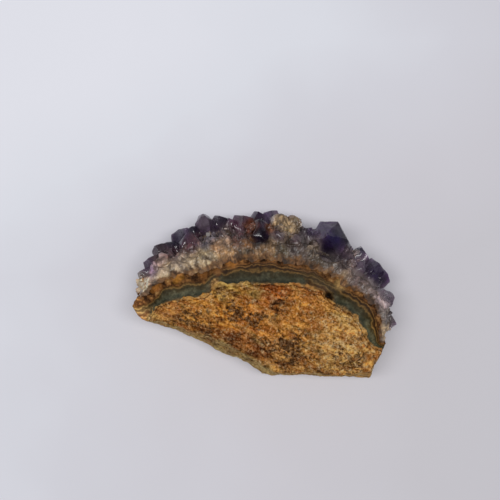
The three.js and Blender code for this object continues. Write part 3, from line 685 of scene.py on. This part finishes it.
# Colours of the crust on the broken face: x, y and radius in millimetres, and the colour. Some are painted
# light:
# the pale grey ones at (-25.3, 18.6) and (2.1, 23.6) are painted reflections of the sky on faces of points,
# the lilac one at (-32.2, 8.9) is a painted glint, and the one at (-14, 14.3) is rust with a painted glint
CRUST_TONES_AND_GLINTS = [
    (-36, 3, 2.4, "#a99882"), (-36.5, -0.5, 2.4, "#a39078"), (-33.7, 7.5, 1.9, "#57475a"),
    (-32.2, 8.9, 0.8, "#74646c"), (-29.6, 10.7, 2.2, "#74625f"), (-30.7, 13.6, 2, "#4c3f45"),
    (-26.9, 11.9, 1.6, "#55303a"), (-27.6, 16.9, 1.7, "#272531"), (-25.7, 16.1, 1.6, "#3f3f51"),
    (-25.3, 18.6, 1.2, "#787582"), (-21.2, 19.5, 1.2, "#34343e"), (-22.1, 14.3, 1.6, "#50303a"),
    (-23.9, 15.2, 1.5, "#5e4650"), (-19.6, 17, 1.6, "#664a4c"), (-24.4, 9.9, 2, "#8a7e76"),
    (-20.9, 8.4, 2.3, "#a8987e"), (-27.3, 7.4, 2.3, "#a99a80"), (-17.6, 21.3, 1.9, "#6c5e6a"),
    (-18.3, 18.6, 1, "#26212e"), (-16.3, 16.9, 1.5, "#736b74"), (-17.4, 14.8, 1.4, "#534e58"),
    (-13.4, 19.6, 1.9, "#3a2c3c"), (-14.5, 21.7, 1.2, "#4f4753"), (-12, 22.5, 1, "#312e36"),
    (-10.8, 19.1, 1.5, "#80706b"), (-14, 14.3, 1.3, "#a07a58"), (-11.6, 15, 1.8, "#967c66"),
    (-10.6, 12, 2, "#a5845e"), (-16.3, 11.1, 2.1, "#a99a7f"), (-7.9, 20.2, 2, "#643e50"),
    (-8.6, 18, 1.3, "#58343c"), (-6.4, 22.6, 1.2, "#624f57"), (-5.7, 20.7, 0.8, "#875f4b"),
    (-3.8, 20.7, 1.5, "#824720"), (-4.2, 18.6, 0.9, "#6a341a"), (-5.2, 17.4, 1.2, "#381b1c"),
    (-8.2, 16, 1.5, "#5a3d36"), (-1.6, 23.4, 1.5, "#141318"), (-1.7, 18, 2.3, "#181220"),
    (-0.9, 15.8, 1.5, "#181319"), (-4.4, 15.3, 1.4, "#86603e"), (-4.7, 12.5, 1.2, "#554d3f"),
    (-9.9, 9.7, 1.8, "#9a754d"), (1.9, 19.9, 1.1, "#7a4826"), (2.1, 23.6, 1.4, "#706f7d"),
    (4.8, 22, 1.7, "#c4aa84"), (4.2, 18.6, 1.4, "#5b4a52"), (7.3, 19.6, 1.8, "#bca480"),
    (9.4, 21.6, 1.6, "#b8a282"), (11.5, 19.1, 1.2, "#39343c"), (8.6, 15.9, 1.6, "#422c34"),
    (9.8, 17.3, 1, "#604c56"), (12.1, 15.8, 1.3, "#362c30"), (0.6, 12.7, 1.8, "#a2825f"),
    (5.2, 11.8, 1.9, "#4d4736"), (9.4, 12.7, 1.9, "#605757"), (14.8, 14, 1.4, "#958675"),
    (14.8, 15.9, 1.2, "#83757b"), (15.3, 9.8, 1.6, "#584f45"), (14.9, 19.4, 1.3, "#645672"),
    (17.3, 20, 1.5, "#3a2252"), (20.6, 16.8, 1.8, "#251a50"), (18.9, 14.1, 2.1, "#120b20"),
    (22.2, 18.8, 1.8, "#262232"), (24, 16.6, 1.4, "#25222c"), (19.7, 9.6, 2.2, "#6a615c"),
    (23.5, 9.7, 1.8, "#50454d"), (26.4, 12.5, 1.6, "#847276"), (28, 13.5, 1.5, "#595966"),
    (25.4, 7, 1.5, "#91807d"), (28.4, 9.2, 1.8, "#756674"), (27.3, 4.6, 1.8, "#6b5c5e"),
    (33, 6.3, 2, "#2f2443"), (34.2, 8.3, 1.3, "#4f435d"), (32.2, 8.9, 1, "#5c5662"),
    (31.3, 2.8, 1.8, "#75696a"), (34.7, 4.5, 1.4, "#3d3343"), (35.9, -1.2, 2, "#8b7e84"),
    (35.9, -6.5, 2.3, "#746d6b"), (37.2, -0.7, 1.3, "#857686"), (35.1, -9.9, 1.5, "#9c8a70"),
    (22.2, 3.5, 1.3, "#b19565"), (24.3, 6.3, 1.1, "#9c8972"),
]


def round_dome(places):
    """The angles of places round the dome, in radians from +X."""
    return np.arctan2(places[:, 1] - DOME_MIDDLE[1], places[:, 0] - DOME_MIDDLE[0])


def crust_thickness(places):
    angles = np.degrees(round_dome(places))
    return np.interp(np.where(angles < -90, angles + 360, angles), *zip(*CRUST))


def along_growth(places):
    """Places measured along the dome, up it, and out of it, drawn out in the way that the quartz grew."""
    near, away = nearest_on(band_surface, places)
    return np.stack([round_dome(near) * DOME_RADIUS, near[:, 2], away * DRAWN_OUT], axis=1)


def clear_at(places):
    """1 on the broken face in the points that are clear further down, and 0 elsewhere."""
    found = np.zeros(len(places))
    for x, y, radius in CLEAR:
        found = np.maximum(found, 1 - eased(away_from(places, x, y, radius), *CLEAR_EDGE))
    return found * eased(places[:, 2], *FACE_FROM)


def clouded_to(places):
    """How far out the quartz is milky, as a share of the crust's thickness."""
    on_face = eased(places[:, 2], *FACE_FROM)
    on_side = FOOT_SHARE + THIN_MILK * (1 - eased(crust_thickness(places), *THIN_EDGE))
    share = on_side + (np.interp(places[:, 0], *zip(*FACE_SHARES)) - on_side) * on_face
    share = share + REACH_STRAY * waves(along_growth(places), FOOT_COLUMN, 2, 4.0)
    share = share - CLEAR_DROP * clear_at(places)
    near_face = eased(places[:, 2], *CLOUDED_FROM)
    stray = 0.25 * waves(places, 1.5, 2)
    for x, y, radius, top in CLOUDED:
        inside = 1 - eased(away_from(places, x, y, radius) + stray, *CLOUDED_EDGE)
        share = np.maximum(share, top * near_face * inside)
    return share


def held_in(places):
    """Moves points that lie out of the milky quartz back into it."""
    near, away = nearest_on(band_surface, places)
    kept = np.minimum(away, crust_thickness(near) * (clouded_to(places) + MESH_BEYOND))
    return near + (places - near) * (kept / np.maximum(away, 1e-6))[:, None]


milky_foot = copy_of("amethyst_crust", "milky_foot")
even_mesh(milky_foot, FOOT_MESH)
put_places(milky_foot, held_in(places_of(milky_foot)))
even_mesh(milky_foot, FOOT_MESH)
foot_places = lap_over(places_of(milky_foot), band_surface, SEAM_BULGE, SEAM_LEAD)
put_places(milky_foot, foot_places)
foot_out = normals_of(milky_foot)
_, from_band = nearest_on(band_surface, foot_places)
reach = from_band / crust_thickness(foot_places)
grown = along_growth(foot_places)
columns = grains(grown, FOOT_COLUMN)
less_drawn_out = grown * np.array([1, 1, 1.5])
splinters = grains(less_drawn_out, FOOT_SPLINTER, 5.0)
sugar = grains(foot_places, FOOT_GRAIN, 9.0)
skin = SKIN - SKIN_FALL * eased(reach - clouded_to(foot_places), *SKIN_EDGE)
foot_relief = breakage(foot_places) + eased(from_band, 0.1, 1.6) * (
    COLUMN_HEIGHT * (columns - 0.5)
    + SPLINTER_HEIGHT * (splinters - 0.35)
    + GRAIN_HEIGHT * (sugar - 0.35)
    + LARGE_BUMP_HEIGHT * waves(grown, LARGE_BUMP, 3, 6.0)
    + SMALL_BUMP_HEIGHT * waves(foot_places, SMALL_BUMP, 4, 1.0)
    + skin
)
foot_places = raised(foot_places, foot_out, foot_relief)
put_places(milky_foot, foot_places)
# Painted shade: the crevices between the columns and splinters are darkened in the material
crevice = (1 - eased(columns, 0.05, 0.4)) * (0.4 + 0.6 * (1 - splinters))
put_values(milky_foot, {"reach": reach, "crevice": crevice})
keep(milky_foot, "growth", "FLOAT_VECTOR", "vector", less_drawn_out * MM)
plain = channels_of(FOOT_COLOUR)
on_face = eased(foot_places[:, 2], *FOOT_TONES_FROM)[:, None]
# painted light: lighter at the foot's thin ends, darker in its thick middle
foot_painted_light = np.interp(foot_places[:, 0], *zip(*FOOT_PAINTED_LIGHT))[:, None]
# the colours of the broken face, with their painted reflections and glints
face_tones_and_glints = painted(foot_places, CRUST_TONES_AND_GLINTS, plain, 0.7, 0.03) * foot_painted_light
put_colours(milky_foot, "tone", plain + on_face * (face_tones_and_glints - plain))
shade_faces(milky_foot, False)


def rusty_quartz(add, place, reach, patch, quartz):
    """The quartz, with rust that has come out of the seam into the start of its columns."""
    rust_noise = add("TexNoise", {"Vector": place, "Size": 2.6, "Detail": 3.0, "Roughness": 0.6})
    rust_reach = add("Math", {0: rust_noise, 1: -0.5, 2: reach}, TIMES_PLUS)
    rust_edge = add("MapRange", {"Value": rust_reach, "From": (-0.18, -0.04), "To": (0.95, 0.0)}, SMOOTH)
    rust_tone = add(
        "ValToRGB", {"Fac": patch},
        stops=[(0.36, "#2e1c0e"), (0.46, "#57391d"), (0.54, "#7c5430"), (0.66, "#9e7a4e")],
    )
    rusted = add("Mix", {"Factor": rust_edge, "A": quartz, "B": rust_tone}, BLEND)
    return rusted, rust_edge


def milky_quartz():
    """Quartz clouded by tiny bubbles, broken into sugary grains: pale and dull, with small glints that are
    partly painted on its grains, rust-stained next to the band, and darkened with painted shade in its
    crevices."""
    material, add, place, kept = new_material(
        "milky_quartz", growth="Vector", reach="Fac", crevice="Fac", tone="Color",
    )
    patch = add(
        "TexNoise",
        {"Vector": kept["growth"], "Size": 2.4, "Detail": 5.0, "Roughness": 0.72, "Distortion": 0.4},
    )
    patch_light = add(
        "ValToRGB", {"Fac": patch},
        stops=[
            (0.32, "#5a524e"), (0.43, "#a69c96"), (0.5, "#d4cec8"), (0.58, "#f4eada"), (0.66, "#ffffff"),
        ],
    )
    quartz = add("Mix", {"Factor": 0.95, "A": kept["tone"], "B": patch_light}, OVERLAY)
    grain = add("TexVoronoi", {"Vector": kept["growth"], "Size": FOOT_GRAIN})
    cell = add("SeparateColor", {"Color": grain.outputs["Color"]})
    # each grain lighter or darker: partly its own cloudiness, partly painted glints
    grain_tone_and_glints = add("MapRange", {"Value": cell.outputs["Red"], "To": (0.22, 0.86)})
    grained = add("Mix", {"Factor": 0.7, "A": quartz, "B": grain_tone_and_glints}, OVERLAY)
    rusted, rust_edge = rusty_quartz(add, place, kept["reach"], patch, grained)
    # painted shade in the crevices, mixed towards a dark brown
    crevice_shade_share = add("Math", {0: kept["crevice"], 1: 0.6}, TIMES)
    shaded = add("Mix", {"Factor": crevice_shade_share, "A": rusted, "B": "#3d2e20"}, BLEND)
    bump = add("Bump", {"Strength": 0.6, "Distance": 0.16 * MM, "Height": grain.outputs["Distance"]})
    dullness = add("MapRange", {"Value": rust_edge, "To": (0.42, 0.8)})
    shader = add(
        "BsdfPrincipled", {"Base Color": shaded, "Roughness": dullness, "IOR": 1.54, "Normal": bump},
    )
    add("OutputMaterial", {"Surface": shader})
    return material


milky_foot.data.materials.append(milky_quartz())
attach(milky_foot, "root")
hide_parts("amethyst_crust")


# Amethyst points
# Quartz points with six prism faces under a six-faced tip, grown together from the milky foot. Iron in the
# quartz makes them purple, deepest near their tips, and some carry a skin of rust or clay. Small ones stand
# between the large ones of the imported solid, joined to it.

FACET_STEP = 0.9  # longest edge in millimetres after the faces are divided to carry their unevenness
SHARP = 28  # degrees between two faces of a point above which their edge stays sharp
SMALL_POINTS = 5200  # places that are tried for a small point
SMALL_SPACING = 1.7  # least distance in millimetres between two of them
THIN_CRUST = 5.6  # millimetres of thickness under which none stand on the crust
NEAR_BAND = 0.4  # and millimetres from the band
LEAST_SHARE, MOST_SHARE = 0.16, 0.6  # how far out they stand, as a share of the crust's thickness
LOWEST, HIGHEST = 1.6, 22  # and how high, in millimetres
BROAD_UNDER = 0.4  # share of the thickness up to which they are broad
BROAD, SLIM = (1.8, 3.4), (0.9, 1.9)  # least and most width of a broad and a slim one
FULL_WIDTH_FROM = 8  # millimetres of thickness from which they grow to their full width
LENGTH_OVER_WIDTH = (0.9, 1.35)
ROOT = 0.9  # how deep each is set into the crust
LEAN_OUT = 0.5  # how much it turns from the way out of the crust to that out of the face under it
LEAN_ANY = 0.45  # and to any side
TIP_SLOPE = 0.635  # least height of a tip over the point's width, and how much more it can be
SLOPE_SPREAD = 0.3
OFF_MIDDLE = 0.25  # how far from the middle the tip can be, in half widths
SIDES = (0.88, 1.12)  # and how far out an edge of the prism
LEAST_PRISM = 0.3  # millimetres of it under the tip's faces
# Length and height in millimetres of the large and small waves in the faces
FACET_WAVE, FACET_WAVE_HEIGHT = 2.4, 0.14
FACET_RIPPLE, FACET_RIPPLE_HEIGHT = 0.9, 0.04
SUNK = 1.1  # how deep in millimetres the clear quartz lies inside the milky foot
SUNK_FROM = 20  # from which height up it does
SUNK_REACH = 25  # and how much further down where the quartz is milky nearly to its tips
SUNK_FADE = 5  # over how many millimetres of height that starts
NEARLY_TO_TIPS = (0.6, 0.8)  # shares of the crust's thickness between which that sets in
ABOVE_CUT = 0.15  # how high over the flat cut the clear quartz lies inside the milky foot
DARK_PURPLE, LIGHT_PURPLE = "#74488a", "#a682ac"  # on the side, where the photo shows no points
POINT_TONES_FROM = (11, 18)  # heights in millimetres between which the colours of the broken face set in
TONE_GAIN = 1.8  # how many times they are taken, since clear quartz darkens them
MOST_TONE = 0.9  # and how light they get at most

points = copy_of("amethyst_crust", "amethyst_points")


def quartz_point(work, foot, way, width, length, draw):
    """Adds one six-sided point to a mesh in the making: a prism whose tip has six faces of unequal size."""
    stand = way.to_track_quat("Z", "Y")
    turn = draw.uniform(0, math.pi / 3)
    half = width / 2
    off_middle = [draw.uniform(-OFF_MIDDLE, OFF_MIDDLE) * half for _ in range(2)]
    base, shoulder = [], []
    for k in range(6):
        angle = turn + k * math.pi / 3
        side = half * draw.uniform(*SIDES)
        fall = width * (TIP_SLOPE + draw.uniform(0, SLOPE_SPREAD))
        corner = Vector((side * math.cos(angle), side * math.sin(angle), 0))
        top = corner + Vector((0, 0, max(LEAST_PRISM, length - fall)))
        base.append(work.verts.new((foot + stand @ corner) * MM))
        shoulder.append(work.verts.new((foot + stand @ top) * MM))
    tip = work.verts.new((foot + stand @ Vector((*off_middle, length))) * MM)
    work.faces.new(base[::-1])
    for k in range(6):
        after = (k + 1) % 6
        work.faces.new([base[k], base[after], shoulder[after], shoulder[k]])
        work.faces.new([shoulder[k], shoulder[after], tip])


def some_places(piece, count, draw):
    """Random places on a piece in millimetres, each with the way out of the face there."""
    corners = places_of(piece)
    faces = list(piece.data.polygons)
    for face in draw.choices(faces, weights=[f.area for f in faces], k=count):
        a, b, c = (Vector(corners[i]) for i in face.vertices[:3])
        u, v = sorted((draw.random(), draw.random()))
        yield a * u + b * (v - u) + c * (1 - v), face.normal.copy()


def clear_of(place, others, spacing):
    return all((place - other).length_squared > spacing * spacing for other in others)


draw = random.Random(5)
rows = []  # each row's points stand clear of each other, so that they can be joined all at once
settled = []
for place, face_out in some_places(points, SMALL_POINTS, draw):
    near, _, _, away = band_surface.find_nearest(place)
    if away < NEAR_BAND:
        continue
    thickness = float(crust_thickness(np.array([near]))[0])
    share = away / thickness
    way = (place - near).normalized()
    lean = Vector((draw.uniform(-1, 1), draw.uniform(-1, 1), draw.uniform(-1, 1)))
    on_crust = thickness >= THIN_CRUST and LEAST_SHARE < share < MOST_SHARE
    if not (on_crust and LOWEST < place.z < HIGHEST):
        continue
    if not clear_of(place, settled, SMALL_SPACING):
        continue
    settled.append(place)
    way = (way + LEAN_OUT * face_out + LEAN_ANY * lean).normalized()
    width = draw.uniform(*(BROAD if share < BROAD_UNDER else SLIM)) * min(1.0, thickness / FULL_WIDTH_FROM)
    length = width * draw.uniform(*LENGTH_OVER_WIDTH) + ROOT
    foot = place - way * ROOT
    middle = foot + way * (length / 2)
    radius = 0.5 * math.hypot(length, width)
    row = next((r for r in rows if all((middle - m).length > radius + other for m, other in r[1])), None)
    if row is None:
        row = (bmesh.new(), [])
        rows.append(row)
    row[1].append((middle, radius))
    quartz_point(row[0], foot, way, width, length, draw)

for work, _ in rows:
    added = new_object("small_points", bpy.data.meshes.new("small_points"))
    bmesh.ops.triangulate(work, faces=work.faces)
    work.to_mesh(added.data)
    work.free()
    join = points.modifiers.new("join", "BOOLEAN")
    join.operation = "UNION"
    join.solver = "MANIFOLD"
    join.object = added
    settle(points)
    bpy.data.objects.remove(added)
points.data.materials.clear()
points.data.polygons.foreach_set("material_index", [0] * len(points.data.polygons))


def divide_long_edges(piece, longest):
    """Divides a piece's edges until none is longer than so many millimetres, and keeps its faces flat."""
    work = bmesh.new()
    work.from_mesh(piece.data)
    bmesh.ops.triangulate(work, faces=work.faces)
    for _ in range(6):
        long_edges = [e for e in work.edges if e.calc_length() > longest * MM]
        if not long_edges:
            break
        bmesh.ops.subdivide_edges(work, edges=long_edges, cuts=1)
        bmesh.ops.triangulate(work, faces=[f for f in work.faces if len(f.verts) > 3])
    work.to_mesh(piece.data)
    work.free()
    piece.data.validate()  # takes out faces that lie double


divide_long_edges(points, FACET_STEP)
point_places = places_of(points)
near_band, from_band = nearest_on(band_surface, point_places)
point_reach = from_band / crust_thickness(near_band)
clouded = clouded_to(point_places)
down_to = SUNK_FROM - SUNK_REACH * eased(clouded, *NEARLY_TO_TIPS)
under_foot = 1 - eased(point_reach - clouded, -0.12, 0.06)
under_foot = under_foot * eased(point_places[:, 2] - down_to, 0, SUNK_FADE)
facet_waves = FACET_WAVE_HEIGHT * waves(point_places, FACET_WAVE, 2, 13.0)
uneven = facet_waves + FACET_RIPPLE_HEIGHT * waves(point_places, FACET_RIPPLE, 1, 17.0)
point_out = normals_of(points)
to_band = (near_band - point_places) / np.maximum(from_band, 1e-6)[:, None]
facing_band = np.maximum(0, (point_out * to_band).sum(axis=1))[:, None]
point_in = facing_band * to_band - point_out  # the side that faces the band stays where it is
point_places = point_places + point_out * uneven[:, None] + point_in * (SUNK * under_foot)[:, None]
over_cut = ABOVE_CUT * (1 - eased(point_reach - clouded, 0.1, 0.2))
point_places[:, 2] = np.maximum(point_places[:, 2], over_cut)
put_places(points, point_places)
put_values(points, {"reach": point_reach + 0.3 * clear_at(point_places)})
keep(points, "growth", "FLOAT_VECTOR", "vector", along_growth(point_places) * MM)
purple_at = 0.5 + 0.5 * waves(point_places, 4.5, 2, 31.0)[:, None]
own_tint = (1 - purple_at) * channels_of(DARK_PURPLE) + purple_at * channels_of(LIGHT_PURPLE)
from_above = eased(point_places[:, 2], *POINT_TONES_FROM)[:, None]
# the colours of the broken face, with their painted reflections and glints
tones_and_glints = np.minimum(TONE_GAIN * painted(point_places, CRUST_TONES_AND_GLINTS, own_tint, 0.5, 0.03), MOST_TONE)
put_colours(points, "tone", own_tint * (1 - from_above) + tones_and_glints * from_above)
shade_faces(points, True)
points.data.set_sharp_from_angle(angle=math.radians(SHARP))


def amethyst():
    """Clear purple quartz: light goes through it and loses its green, so thick points look darkest. The
    faces are glassy, with growth steps that break up the reflections, and cloudy towards the foot."""
    material, add, place, kept = new_material("amethyst", growth="Vector", reach="Fac", tone="Color")
    veil = add("TexNoise", {"Vector": kept["growth"], "Size": 1.3, "Detail": 4.0, "Roughness": 0.6})
    veil_light = add("MapRange", {"Value": veil, "From": (0.32, 0.68), "To": (0.28, 0.76)})
    purple = add("Mix", {"Factor": 0.8, "A": kept["tone"], "B": veil_light}, OVERLAY)
    milk_level = add("Math", {0: veil, 1: -0.5, 2: kept["reach"]}, TIMES_PLUS)
    milk = add("MapRange", {"Value": milk_level, "From": (0.0, 0.4), "To": (0.7, 0.0)}, SMOOTH)
    tinted = add("Mix", {"Factor": milk, "A": purple, "B": "#c9b9b4"}, BLEND)
    frost = add("MapRange", {"Value": milk, "To": (0.2, 0.6)})
    ripple = add("TexNoise", {"Vector": place, "Size": 0.8, "Detail": 3.0})
    bump = add("Bump", {"Strength": 0.35, "Distance": 0.1 * MM, "Height": ripple})
    shader = add(
        "BsdfPrincipled",
        {
            "Base Color": tinted, "Roughness": frost, "IOR": 1.544, "Specular IOR Level": 0.22,
            "Transmission Weight": 0.7, "Normal": bump,
        },
    )
    absorption = add("VolumeAbsorption", {"Color": "#8a5c98", "Density": 280.0})
    add("OutputMaterial", {"Surface": shader, "Volume": absorption})
    return material


points.data.materials.append(amethyst())
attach(points, "root")
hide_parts("amethyst_crust")


# Paper, light and camera
# The piece lies on a large sheet of pale paper. The light is soft and comes from above, a little from the
# points' side, and the camera looks straight down, a little beyond the middle of the piece.

PAPER = 3.0  # metres
CAMERA_HEIGHT = 300  # millimetres
CAMERA_OVER = (-4.06, 13.34)
LENS = 67.53
LIGHT_FALLOFF_WIDTH = 220  # millimetres over which a painted falloff of light darkens the paper from one shade to the other
LIGHT_FALLOFF_MIDDLE = 0.6  # how far that painted falloff has gone over the middle of the piece
PAINTED_LIGHT_BEYOND = (5, 80)  # millimetres along Y between which painted light makes it lighter again

paper = new_object("paper", bpy.data.meshes.new("paper"))
sheet = bmesh.new()
bmesh.ops.create_grid(sheet, x_segments=1, y_segments=1, size=PAPER / 2)
sheet.to_mesh(paper.data)
sheet.free()
paper.location.z = -0.02 * MM  # just under the flat cut


def matte_paper():
    """Plain uncoated paper, faintly blue, with painted light that makes it a little lighter towards its far
    left corner.
    """
    material, add, place, _ = new_material("matte_paper")
    tooth = add("TexNoise", {"Vector": place, "Size": 45, "Detail": 2.0})
    part = add("SeparateXYZ", {"Vector": place})
    falloff_across = add("Math", {0: part.outputs["X"], 1: 1 / (LIGHT_FALLOFF_WIDTH * MM), 2: LIGHT_FALLOFF_MIDDLE}, TIMES_PLUS)
    start, end = (y * MM for y in PAINTED_LIGHT_BEYOND)
    beyond = add("MapRange", {"Value": part.outputs["Y"], "From": (start, end), "To": (0.0, 0.55)})
    # painted light: the paper's colour darkens to the right and lightens towards the far side
    drift = add("Math", {0: falloff_across, 1: beyond}, {"operation": "SUBTRACT"})
    shade = add("Math", {0: tooth, 1: 0.3, 2: drift}, TIMES_PLUS)
    tint = add(
        "ValToRGB", {"Fac": shade},
        stops=[(0.0, "#ebecf4"), (0.26, "#e5e7ef"), (0.45, "#dcdce4"), (0.75, "#d6d4db"), (1.0, "#d1cfd5")],
    )
    shader = add("BsdfPrincipled", {"Base Color": tint, "Roughness": 0.9})
    add("OutputMaterial", {"Surface": shader})
    return material


paper.data.materials.append(matte_paper())

sky = bpy.data.worlds.new("cloudy_sky")
bpy.context.scene.world = sky
sky.use_nodes = True
background = sky.node_tree.nodes["Background"].inputs
background["Color"].default_value = linear("#e9edf6")
background["Strength"].default_value = 0.18


def soft_light(name, place, size, watts, colour):
    """A lamp that faces straight down. Its place and size are in metres."""
    lamp = bpy.data.lights.new(name, "AREA")
    lamp.shape = "ELLIPSE"
    lamp.size, lamp.size_y = size
    lamp.energy = watts
    lamp.color = linear(colour)[:3]
    new_object(name, lamp).location = place


soft_light("skylight", (-0.05, 0.055, 1.1), (1.1, 0.3), 10.42, "#faf9f8")

camera = new_object("camera", bpy.data.cameras.new("camera"))
camera.data.lens = LENS
camera.location = (CAMERA_OVER[0] * MM, CAMERA_OVER[1] * MM, CAMERA_HEIGHT * MM)
camera.data.clip_start = 0.01
bpy.context.scene.camera = camera
bpy.context.scene.view_settings.view_transform = "Standard"
